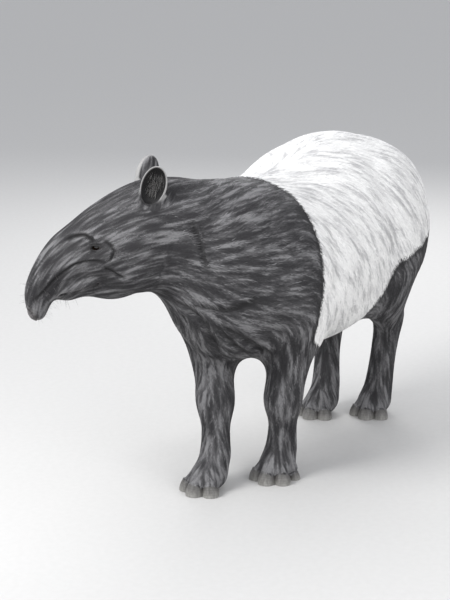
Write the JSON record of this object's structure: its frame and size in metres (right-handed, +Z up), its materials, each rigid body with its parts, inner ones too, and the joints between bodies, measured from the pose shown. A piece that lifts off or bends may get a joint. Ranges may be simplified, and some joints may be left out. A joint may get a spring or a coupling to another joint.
{
  "type": "malayan tapir",
  "caption": "Life-size still model of an adult Malayan tapir, standing in mid-step with its head turned to its right.",
  "frame": {"origin": "on the floor, under the middle of the animal's bounding box", "axes": "+X the way the body faces, +Y the animal's left, +Z up; the head is turned about 50 degrees to -Y"},
  "size_m": [1.6618, 0.7978, 1.1004],
  "materials": {
    "black_coat": "short, close, slightly glossy charcoal hair over hide",
    "white_coat": "short, close greyish-white hair over hide",
    "ear_skin": "short charcoal hair with a pale rim, bare dark skin in the cup",
    "grey_horn": "light grey horn, satin, worn at the tip",
    "dark_eye": "wet, dark brown, glossy"
  },
  "bodies": {
    "root": {"barrel": "white_coat", "ear_left": "ear_skin", "ear_right": "ear_skin", "eye_left": "dark_eye", "eye_right": "dark_eye", "foreleg_left_cannon": "black_coat", "foreleg_left_foot": "black_coat", "foreleg_left_forearm": "black_coat", "foreleg_left_hoof_1": "grey_horn", "foreleg_left_hoof_2": "grey_horn", "foreleg_left_hoof_3": "grey_horn", "foreleg_left_hoof_4": "grey_horn", "foreleg_right_cannon": "black_coat", "foreleg_right_foot": "black_coat", "foreleg_right_forearm": "black_coat", "foreleg_right_hoof_1": "grey_horn", "foreleg_right_hoof_2": "grey_horn", "foreleg_right_hoof_3": "grey_horn", "foreleg_right_hoof_4": "grey_horn", "head": "black_coat", "hindleg_left_cannon": "black_coat", "hindleg_left_foot": "black_coat", "hindleg_left_hoof_1": "grey_horn", "hindleg_left_hoof_2": "grey_horn", "hindleg_left_hoof_3": "grey_horn", "hindleg_left_shank": "black_coat", "hindleg_left_thigh": "black_coat", "hindleg_right_cannon": "black_coat", "hindleg_right_foot": "black_coat", "hindleg_right_hoof_1": "grey_horn", "hindleg_right_hoof_2": "grey_horn", "hindleg_right_hoof_3": "grey_horn", "hindleg_right_shank": "black_coat", "hindleg_right_thigh": "black_coat", "neck": "black_coat", "rump": "white_coat", "shoulders": "black_coat", "tail": "white_coat"}
  },
  "joints": []
}
